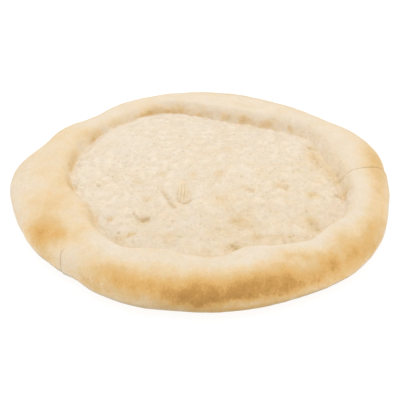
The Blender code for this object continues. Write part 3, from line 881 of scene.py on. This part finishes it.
# Colour of the crust as it browns, from pale dough
CRUST_COLOURS = [
    (0.00, (0.845, 0.735, 0.595)), (0.10, (0.840, 0.705, 0.525)), (0.21, (0.842, 0.665, 0.438)),
    (0.33, (0.830, 0.615, 0.352)), (0.44, (0.790, 0.552, 0.277)), (0.57, (0.782, 0.512, 0.218)),
    (0.66, (0.770, 0.478, 0.184)), (0.75, (0.750, 0.445, 0.156)), (0.84, (0.677, 0.382, 0.120)),
    (0.93, (0.600, 0.323, 0.094)), (1.00, (0.560, 0.300, 0.083)), (1.25, (0.450, 0.228, 0.062)),
]
# dark of pits and spots: partly browned dough, partly painted shade
PIT_BROWN_AND_SHADE, PORE_STRENGTH = (0.49, 0.35, 0.185, 1), 0.6
SPECK_COLOUR, SPECK_STRENGTH = (0.66, 0.52, 0.31, 1), 0.75
SEAM_COLOUR = (0.30, 0.19, 0.09, 1)
TINTS = [(0, (0.988, 1.004, 0.978)), (0.5, (1, 1, 1)), (1, (1.012, 0.986, 0.992))]
TINT_NOISE = (5.5 * MM, 2)  # a noise's size and detail come first, here and below
NOISE_RANGE = (0.3, 0.7)  # values between which most of a noise lies
# Mottles of the browning, with half of their swing; their strength everywhere, more by the
# browning, more on the outside
PATCHY_MOTTLES, FINE_MOTTLES = (7 * MM, 3, 0.5), (1.4 * MM, 3, 0.45)
MOTTLE_STRENGTH = (0.09, 0.08, 0.10)
BROAD_MOTTLES, BROAD_STRENGTH = (26 * MM, 2), 0.04
# How much browner the bottom of the relief and the stripes are, and how much painted shade darkens them
SUNK_BROWNER, SUNK_PAINTED_SHADE = 0.02, 0.05
STRIPE_BROWNER, STRIPE_PAINTED_SHADE = 0.09, 0.06
# painted shade: how much the low note darkens the colour
LOW_PAINTED_SHADE = 0.34
STRIPE_BENDS = mm(9, 3)  # size, how far
# Grain, with the roughness of its noise; how much painted light and shade it gives the crust and the crumb,
# darker in its hollows
FINE_GRAIN, COARSE_GRAIN, COARSE_SHARE = (1.0 * MM, 3, 0.6), (2.4 * MM, 2), 0.8
GRAIN_RANGE = (0.55, 1.25)
GRAIN_PAINTED_SHADE = (0.050, 0.074)
BUMP_HEIGHT, BUMP_STRENGTH = 0.35 * MM, (0.4, 0.6)  # strength on the crust and on the crumb
# Specks of the crumb: size of the cells they lie in, largest radius, share of the cells
SPECKS = [(3.0 * MM, 0.75 * MM, 0.55), (5.5 * MM, 1.15 * MM, 0.45)]
SPECK_CORE, SPECKS_FAINT = 0.3, 0.2  # share of the radius at full strength, of the cells with less
SPECKS_ON_CRUMB = (0.2, 0.9, 0.12, 1.0)  # between these values of the crumb, from this to that
SPECK_PATCHES, IN_PATCHES = (16 * MM, 2), (0.35, 0.65, 0.25, 1.0)
SPECK_SINK = 1.2  # how deep they lie in the grain
ROUGHNESS = (0.1, 0.95, 0.86, 0.62)  # the same by the browning
SHINE = 0.15


def mottled(s, note, stripes):
    """The browning, broken up into mottles where there is some and a little uneven elsewhere."""
    everywhere, where_browned, where_outside = MOTTLE_STRENGTH
    strength = s.plus(everywhere, note["browned"], where_browned)
    strength = s.plus(strength, note["outside"], where_outside)
    uneven = s.plus(s.swing(*PATCHY_MOTTLES), s.swing(*FINE_MOTTLES))
    level = s.plus(note["browned"], uneven, strength)
    level = s.plus(level, note["sunk"], SUNK_BROWNER)
    level = s.plus(level, stripes, s.times(note["striped"], STRIPE_BROWNER))
    return s.plus(level, s.swing(*BROAD_MOTTLES), BROAD_STRENGTH)


def painted_light(s, note, stripes, grainy):
    """Painted light and shade multiplied into the colour at each point, 1 where nothing shades it."""
    light = s.plus(1.0, note["low"], -LOW_PAINTED_SHADE)
    light = s.plus(light, note["sunk"], -SUNK_PAINTED_SHADE)
    grain_painted_shade = s.between(note["crumb"], 0, 1, *GRAIN_PAINTED_SHADE)
    light = s.plus(light, s.between(grainy, *GRAIN_RANGE, -1, 1), grain_painted_shade)
    return s.plus(light, stripes, s.times(note["striped"], -STRIPE_PAINTED_SHADE))


def speckled(s, note):
    """Specks, most of them in patches of the crumb."""
    specks = s.math("MAXIMUM", *(s.specks(*kind) for kind in SPECKS))
    specks = s.times(specks, s.between(note["crumb"], *SPECKS_ON_CRUMB))
    return s.times(specks, s.between(s.noise(*SPECK_PATCHES), *IN_PATCHES))


def crust_material(names):
    s = Shading("baked_dough")
    note = {name: s.add("Attribute", attribute_name=name).outputs["Fac"] for name in names}
    stripes = s.stripes(STRIPE_SPACING, *STRIPE_BENDS)
    grainy = s.plus(s.noise(*FINE_GRAIN), s.noise(*COARSE_GRAIN), COARSE_SHARE)
    level, specks = mottled(s, note, stripes), speckled(s, note)
    darkest = CRUST_COLOURS[-1][0]
    colour = s.ramp(s.math("DIVIDE", level, darkest), [(at / darkest, rgb) for at, rgb in CRUST_COLOURS])
    tint = s.ramp(s.between(s.noise(*TINT_NOISE), *NOISE_RANGE), TINTS)
    colour = s.mix(1.0, colour, tint, "MULTIPLY")
    # painted light and shade multiplied into the colour
    colour = s.mix(1.0, colour, s.grey(painted_light(s, note, stripes, grainy)), "MULTIPLY")
    colour = s.mix(s.times(specks, SPECK_STRENGTH), colour, SPECK_COLOUR)
    # pits and spots: partly browned dough, partly painted shade
    colour = s.mix(s.times(note["pitted"], PORE_STRENGTH), colour, PIT_BROWN_AND_SHADE)
    colour = s.mix(note["seamed"], colour, SEAM_COLOUR)
    bump = s.add("Bump", {"Height": s.plus(grainy, specks, -SPECK_SINK), "Distance": BUMP_HEIGHT,
                          "Strength": s.between(note["crumb"], 0, 1, *BUMP_STRENGTH)})
    fill(s.shader, {"Base Color": colour, "Roughness": s.between(level, *ROUGHNESS),
                    "Specular IOR Level": SHINE, "Normal": bump.outputs["Normal"]})
    return s.material


# The white floor, a hair below the underside, and the light from all around and from above
FLOOR_REACH, FLOOR_LEVEL = 3.0, -0.2 * MM
FLOOR_GREY, FLOOR_ROUGHNESS, FLOOR_GLOW = 0.2, 0.9, 0.845
WHITE = (1, 1, 1, 1)
ROOM_LIGHT = 0.86
LIGHT_POWER, LIGHT_WIDTH, LIGHT_PLACE = 4.0, 1.0, (0.02, 0.32, 1.25)


def floor_material():
    """A faintly glowing white that is clear from below, to show the underside."""
    s = Shading("floor_white")
    fill(s.shader, {"Base Color": (FLOOR_GREY, FLOOR_GREY, FLOOR_GREY, 1), "Roughness": FLOOR_ROUGHNESS,
                    "Emission Color": WHITE, "Emission Strength": FLOOR_GLOW})
    below, clear = s.add("NewGeometry").outputs["Backfacing"], s.add("BsdfTransparent").outputs[0]
    either = s.add("MixShader", {0: below, 1: s.shader.outputs[0], 2: clear})
    fill(s.tree.nodes["Material Output"], {"Surface": either.outputs[0]})
    return s.material


def stage_and_light():
    scene = bpy.context.scene
    mesh = bpy.data.meshes.new("floor")
    s, z = FLOOR_REACH, FLOOR_LEVEL
    mesh.from_pydata([(-s, -s, z), (s, -s, z), (s, s, z), (-s, s, z)], [], [(0, 1, 2, 3)])
    mesh.materials.append(floor_material())
    floor = bpy.data.objects.new("floor", mesh)
    scene.collection.objects.link(floor)
    world = bpy.data.worlds.new("studio")
    world.use_nodes = True
    fill(world.node_tree.nodes["Background"], {"Color": WHITE, "Strength": ROOM_LIGHT})
    scene.world = world
    light = bpy.data.lights.new("soft_box", "AREA")
    light.energy, light.size = LIGHT_POWER, LIGHT_WIDTH
    box = bpy.data.objects.new("soft_box", light)
    box.location = LIGHT_PLACE
    box.rotation_euler = (-box.location).to_track_quat("-Z", "Y").to_euler()
    scene.collection.objects.link(box)


CAMERA_DOWN, CAMERA_AWAY = 33.2, 0.70  # how far it looks down, in degrees; how far off it is
LENS, SENSOR, NEAREST = 84.06, 36.0, 0.02  # the first two in millimetres
PICTURE_SHIFT = (-3.6 / 400, -0.8 / 400)  # share of the picture's width


def photo_camera():
    scene = bpy.context.scene
    camera = bpy.data.cameras.new("camera")
    camera.sensor_width, camera.lens, camera.clip_start = SENSOR, LENS, NEAREST
    camera.shift_x, camera.shift_y = PICTURE_SHIFT
    holder = bpy.data.objects.new("camera", camera)
    down = np.radians(CAMERA_DOWN)
    aim = Vector((-MIDDLE[0], -MIDDLE[1], 0))
    holder.location = aim + CAMERA_AWAY * Vector((0, -np.cos(down), np.sin(down)))
    holder.rotation_euler = (np.pi / 2 - down, 0, 0)
    scene.collection.objects.link(holder)
    scene.camera = holder
    scene.view_settings.view_transform = "Standard"


def main():
    dough = Dough()
    texture(dough)
    mesh = dough_mesh(dough)
    piece = bpy.data.objects.new("pizza_base_dough", mesh)
    bpy.context.scene.collection.objects.link(piece)
    mesh.materials.append(crust_material(dough.notes))
    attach(piece, "root")
    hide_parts("pizza_base")
    stage_and_light()
    photo_camera()


main()
